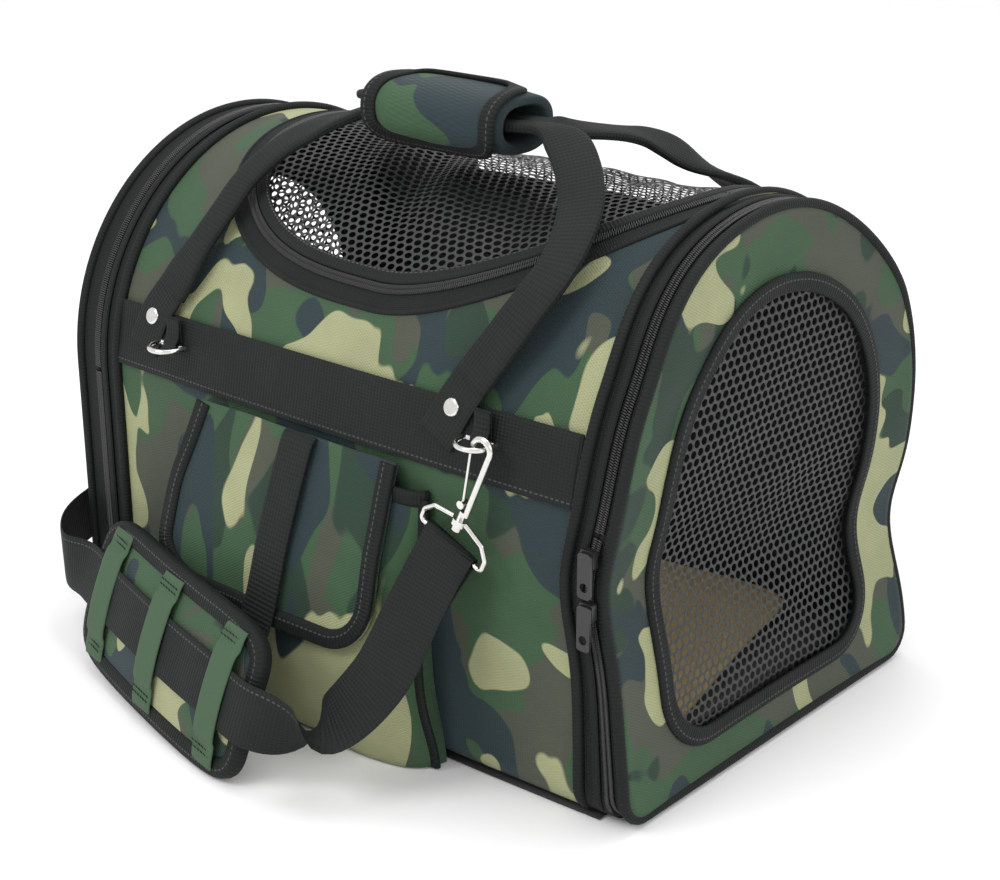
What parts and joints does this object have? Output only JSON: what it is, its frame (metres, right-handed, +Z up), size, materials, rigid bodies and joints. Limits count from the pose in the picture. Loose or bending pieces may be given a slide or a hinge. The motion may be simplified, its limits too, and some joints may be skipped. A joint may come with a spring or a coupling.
{
  "type": "soft pet carrier",
  "caption": "Arched soft carrier bag for a small pet, with zip end doors, a mesh top flap, a side pocket, carrying handles and a padded shoulder strap.",
  "frame": {"origin": "middle of the bag's floor at the underside of its base", "axes": "+X along the bag towards the door with the snap hook beside it, -Y towards the pocket side, +Z up"},
  "size_m": [0.4362, 0.4007, 0.337],
  "materials": {
    "camouflage": "twill woven polyester",
    "floor_cloth": "coated cloth",
    "board": "plain",
    "tan_pile": "soft pile",
    "webbing": "ribbed",
    "binding": "ribbed",
    "zip_tape": "fine woven",
    "zip_coil": "satin",
    "mesh": "open knit",
    "hoop_wire": "plain",
    "black_metal": "satin",
    "nickel": "polished"
  },
  "bodies": {
    "root": {"floor_panel": "floor_cloth", "base_board": "board", "floor_mat": "tan_pile", "front_side_panel": "camouflage", "back_side_panel": "camouflage", "roof_panel": "camouflage", "roof_zip_tape": "zip_tape", "roof_zip_coil": "zip_coil", "side_belts": "webbing", "end_zip_tapes": "zip_tape", "end_body_coils": "zip_coil", "seam_welts": "binding", "arch_hoops": "hoop_wire", "pocket_body": "camouflage", "handle_anchors": "webbing", "rivets": "nickel", "ring_keepers": "webbing", "front_right_ring": "nickel", "back_left_ring": "nickel", "hook_loops": "nickel", "shoulder_strap": "webbing", "shoulder_pad": "camouflage", "pad_loops": "camouflage"},
    "near_door": {"near_door_coil": "zip_coil", "near_door_rim": "zip_tape", "near_door_panel": "camouflage", "near_door_mesh": "mesh", "near_window_binding": "binding", "near_door_welt": "binding"},
    "far_door": {"far_door_coil": "zip_coil", "far_door_rim": "zip_tape", "far_door_panel": "camouflage", "far_door_mesh": "mesh", "far_window_binding": "binding", "far_door_welt": "binding"},
    "top_flap": {"flap_zip_coil": "zip_coil", "flap_binding": "binding", "flap_mesh": "mesh"},
    "near_handle": {"near_handle": "webbing", "grip_wrap": "camouflage"},
    "far_handle": {"far_handle": "webbing"},
    "pocket_flap": {"pocket_flap_panel": "camouflage", "pocket_flap_binding": "binding", "pocket_tab": "webbing"},
    "front_left_ring": {"front_left_ring": "nickel"},
    "back_right_ring": {"back_right_ring": "nickel"},
    "front_hook": {"front_hook": "nickel"},
    "back_hook": {"back_hook": "nickel"},
    "front_gate": {"front_hook_gate": "nickel"},
    "back_gate": {"back_hook_gate": "nickel"},
    "roof_slider": {"roof_slider": "black_metal"},
    "roof_pull": {"roof_pull": "black_metal"},
    "near_upper_slider": {"near_upper_slider": "black_metal"},
    "near_upper_pull": {"near_upper_pull": "black_metal"},
    "near_lower_slider": {"near_lower_slider": "black_metal"},
    "near_lower_pull": {"near_lower_pull": "black_metal"},
    "far_upper_slider": {"far_upper_slider": "black_metal"},
    "far_upper_pull": {"far_upper_pull": "black_metal"},
    "far_lower_slider": {"far_lower_slider": "black_metal"},
    "far_lower_pull": {"far_lower_pull": "black_metal"}
  },
  "joints": [
    {"name": "near_door_open", "type": "hinge", "parent": "root", "child": "near_door", "pos_m": [0.205, 0, 0.003], "axis": [0, 1, 0], "range_deg": [0, 90]},
    {"name": "far_door_open", "type": "hinge", "parent": "root", "child": "far_door", "pos_m": [-0.21, 0, 0.003], "axis": [0, -1, 0], "range_deg": [0, 90], "deforming": ["shoulder_strap", "shoulder_pad", "pad_loops"]},
    {"name": "top_flap_open", "type": "hinge", "parent": "root", "child": "top_flap", "pos_m": [0.022, 0.112, 0.244], "axis": [-1, 0, 0], "range_deg": [0, 80]},
    {"name": "near_handle_drop", "type": "hinge", "parent": "root", "child": "near_handle", "pos_m": [0, -0.134, 0.216], "axis": [1, 0, 0], "range_deg": [0, 120], "deforming": ["grip_wrap"]},
    {"name": "far_handle_drop", "type": "hinge", "parent": "root", "child": "far_handle", "pos_m": [0, 0.134, 0.216], "axis": [-1, 0, 0], "range_deg": [0, 120]},
    {"name": "pocket_flap_lift", "type": "hinge", "parent": "root", "child": "pocket_flap", "pos_m": [-0.01, -0.1448, 0.166], "axis": [-1, 0, 0], "range_deg": [0, 105]},
    {"name": "front_left_ring_tilt", "type": "hinge", "parent": "root", "child": "front_left_ring", "pos_m": [-0.114, -0.13968, 0.19], "axis": [1, 0, 0], "range_deg": [-20, 60]},
    {"name": "back_right_ring_tilt", "type": "hinge", "parent": "root", "child": "back_right_ring", "pos_m": [0.119, 0.13949, 0.19], "axis": [-1, 0, 0], "range_deg": [-20, 60]},
    {"name": "front_hook_swivel", "type": "hinge", "parent": "root", "child": "front_hook", "pos_m": [0.11418, -0.14849, 0.15112], "axis": [0.4067, 0, 0.9135], "range_deg": [-15, 5]},
    {"name": "front_gate_open", "type": "hinge", "parent": "front_hook", "child": "front_gate", "pos_m": [0.11502, -0.14849, 0.15841], "axis": [0, 1, 0], "range_deg": [0, 12], "stiffness_Nm_per_rad": 0.02, "springref_deg": -22.92},
    {"name": "back_hook_swivel", "type": "hinge", "parent": "root", "child": "back_hook", "pos_m": [-0.11882, 0.14849, 0.15112], "axis": [0.4067, 0, 0.9135], "range_deg": [-5, 15]},
    {"name": "back_gate_open", "type": "hinge", "parent": "back_hook", "child": "back_gate", "pos_m": [-0.11798, 0.14849, 0.15841], "axis": [0, 1, 0], "range_deg": [0, 12], "stiffness_Nm_per_rad": 0.02, "springref_deg": -22.92},
    {"name": "near_upper_slider_run", "type": "hinge", "parent": "root", "child": "near_upper_slider", "pos_m": [0.188, 0, 0.16], "axis": [-1, 0, 0], "range_deg": [0, 165]},
    {"name": "near_lower_slider_run", "type": "slide", "parent": "root", "child": "near_lower_slider", "axis": [0, 0, -1], "range_m": [0, 0.095]},
    {"name": "near_upper_pull_swing", "type": "hinge", "parent": "near_upper_slider", "child": "near_upper_pull", "pos_m": [0.188, -0.1427, 0.1504], "axis": [-1, 0, 0], "range_deg": [0, 150]},
    {"name": "near_lower_pull_swing", "type": "hinge", "parent": "near_lower_slider", "child": "near_lower_pull", "pos_m": [0.188, -0.1427, 0.1224], "axis": [-1, 0, 0], "range_deg": [0, 150]},
    {"name": "far_upper_slider_run", "type": "hinge", "parent": "root", "child": "far_upper_slider", "pos_m": [-0.19, 0, 0.16], "axis": [1, 0, 0], "range_deg": [0, 165]},
    {"name": "far_lower_slider_run", "type": "slide", "parent": "root", "child": "far_lower_slider", "axis": [0, 0, -1], "range_m": [0, 0.095]},
    {"name": "far_upper_pull_swing", "type": "hinge", "parent": "far_upper_slider", "child": "far_upper_pull", "pos_m": [-0.19, 0.1427, 0.1504], "axis": [1, 0, 0], "range_deg": [0, 150]},
    {"name": "far_lower_pull_swing", "type": "hinge", "parent": "far_lower_slider", "child": "far_lower_pull", "pos_m": [-0.19, 0.1427, 0.1224], "axis": [1, 0, 0], "range_deg": [0, 150]},
    {"name": "roof_slider_run", "type": "hinge", "parent": "root", "child": "roof_slider", "pos_m": [-0.1326, 0, 0.16], "axis": [1, 0, 0], "range_deg": [0, 45]},
    {"name": "roof_pull_swing", "type": "hinge", "parent": "roof_slider", "child": "roof_pull", "pos_m": [-0.1326, 0.0899, 0.27243], "axis": [1, 0, 0], "range_deg": [0, 150]}
  ],
  "couplings": [
    {"joint": "near_handle_drop", "follows": "top_flap_open", "ratio": 1.5},
    {"joint": "far_handle_drop", "follows": "top_flap_open", "ratio": 1.5},
    {"joint": "near_upper_slider_run", "follows": "near_door_open", "ratio": 1.8},
    {"joint": "near_lower_slider_run", "follows": "near_door_open", "m_per_rad": 0.06},
    {"joint": "far_upper_slider_run", "follows": "far_door_open", "ratio": 1.8},
    {"joint": "far_lower_slider_run", "follows": "far_door_open", "m_per_rad": 0.06}
  ]
}
